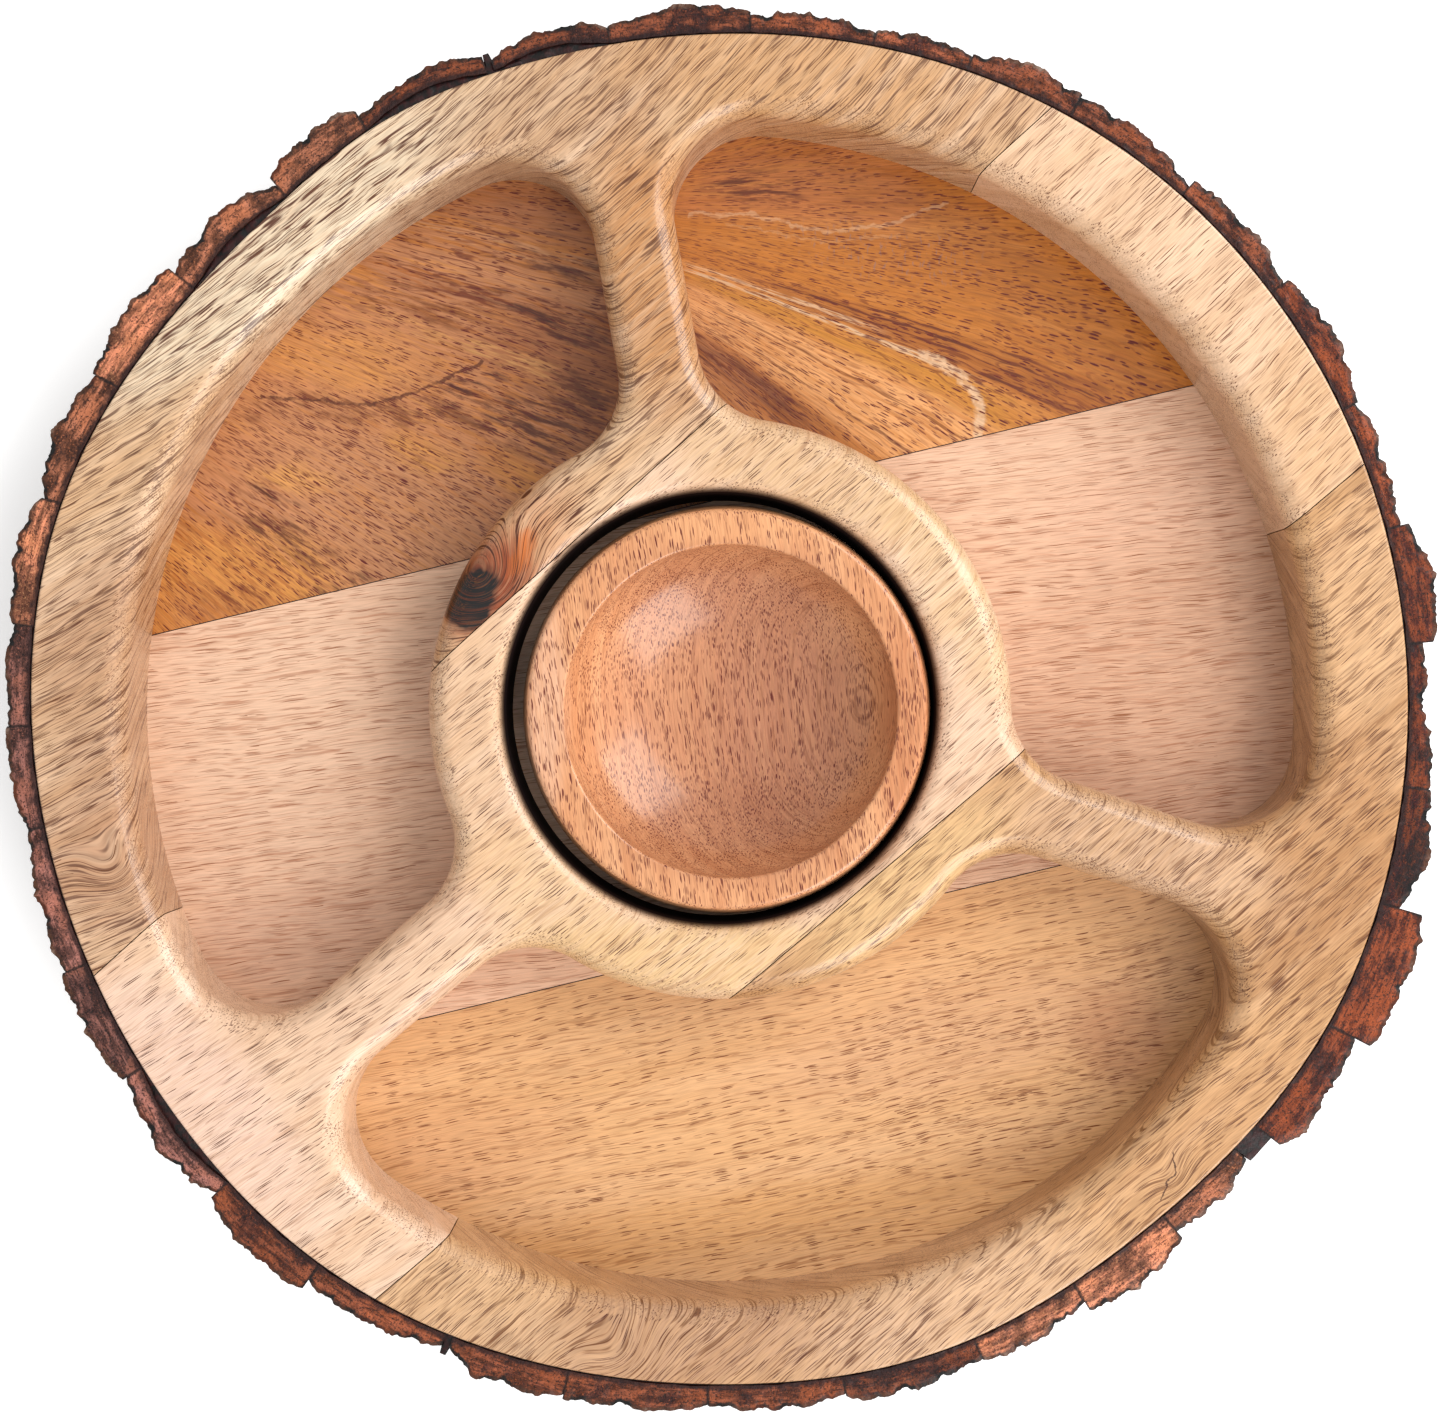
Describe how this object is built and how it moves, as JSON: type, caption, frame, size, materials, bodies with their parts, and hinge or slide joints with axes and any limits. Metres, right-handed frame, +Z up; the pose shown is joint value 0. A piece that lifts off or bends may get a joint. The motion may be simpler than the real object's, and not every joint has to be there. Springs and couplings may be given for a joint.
{
  "type": "chip and dip server",
  "caption": "Round wooden serving tray edged with bark strips, with three compartments around a hub recess that holds a loose turned dip bowl.",
  "frame": {"origin": "middle of the tray's flat underside, on the axis of the bowl's recess", "axes": "+Z up out of the compartments, +X to the tray's right and +Y to its rear as seen from the front, with the plain compartment at the front"},
  "size_m": [0.3559, 0.3498, 0.04],
  "materials": {
    "plank_brown": "satin lacquer over brown, dark-streaked wood",
    "plank_pink": "satin lacquer over pale pink-beige wood",
    "plank_golden": "satin lacquer over golden-tan wood",
    "board_figured": "satin lacquer over tan wood with dark lines and a knot",
    "board_pale": "satin lacquer over pale pink wood",
    "board_cream": "satin lacquer over cream wood",
    "board_golden": "satin lacquer over golden wood with brown lines",
    "bowl_wood": "satin lacquer over orange-tan turned wood",
    "bark_brown": "dry, fibrous, rough",
    "bark_red": "dry, fibrous, rough",
    "bark_dark": "dry, fibrous, rough, nearly black in its cracks",
    "bark_grey": "dry, fibrous, rough, greyish"
  },
  "bodies": {
    "tray": {"base_plank_rear": "plank_brown", "base_plank_middle": "plank_pink", "base_plank_front": "plank_golden", "frame_board_left": "board_figured", "frame_board_middle": "board_pale", "frame_board_middle_offcut": "board_cream", "frame_board_right": "board_golden", "bark_strip_01": "bark_red", "bark_strip_02": "bark_brown", "bark_strip_03": "bark_brown", "bark_strip_04": "bark_dark", "bark_strip_05": "bark_brown", "bark_strip_06": "bark_brown", "bark_strip_07": "bark_dark", "bark_strip_08": "bark_brown", "bark_strip_09": "bark_brown", "bark_strip_10": "bark_brown", "bark_strip_11": "bark_brown", "bark_strip_12": "bark_brown", "bark_strip_13": "bark_red", "bark_strip_14": "bark_red", "bark_strip_15": "bark_red", "bark_strip_16": "bark_grey", "bark_strip_17": "bark_red", "bark_strip_18": "bark_grey", "bark_strip_19": "bark_grey", "bark_strip_20": "bark_grey", "bark_strip_21": "bark_red", "bark_strip_22": "bark_grey", "bark_strip_23": "bark_brown", "bark_strip_24": "bark_red", "bark_strip_25": "bark_dark", "bark_strip_26": "bark_brown", "bark_strip_27": "bark_brown", "bark_strip_28": "bark_dark", "bark_strip_29": "bark_grey", "bark_strip_30": "bark_red", "bark_strip_31": "bark_grey", "bark_strip_32": "bark_brown", "bark_strip_33": "bark_brown", "bark_strip_34": "bark_red"},
    "bowl": {"dip_bowl": "bowl_wood"}
  },
  "joints": [
    {"name": "bowl_lift", "type": "slide", "parent": "tray", "child": "bowl", "axis": [0, 0, 1], "range_m": [0, 0.06]}
  ]
}
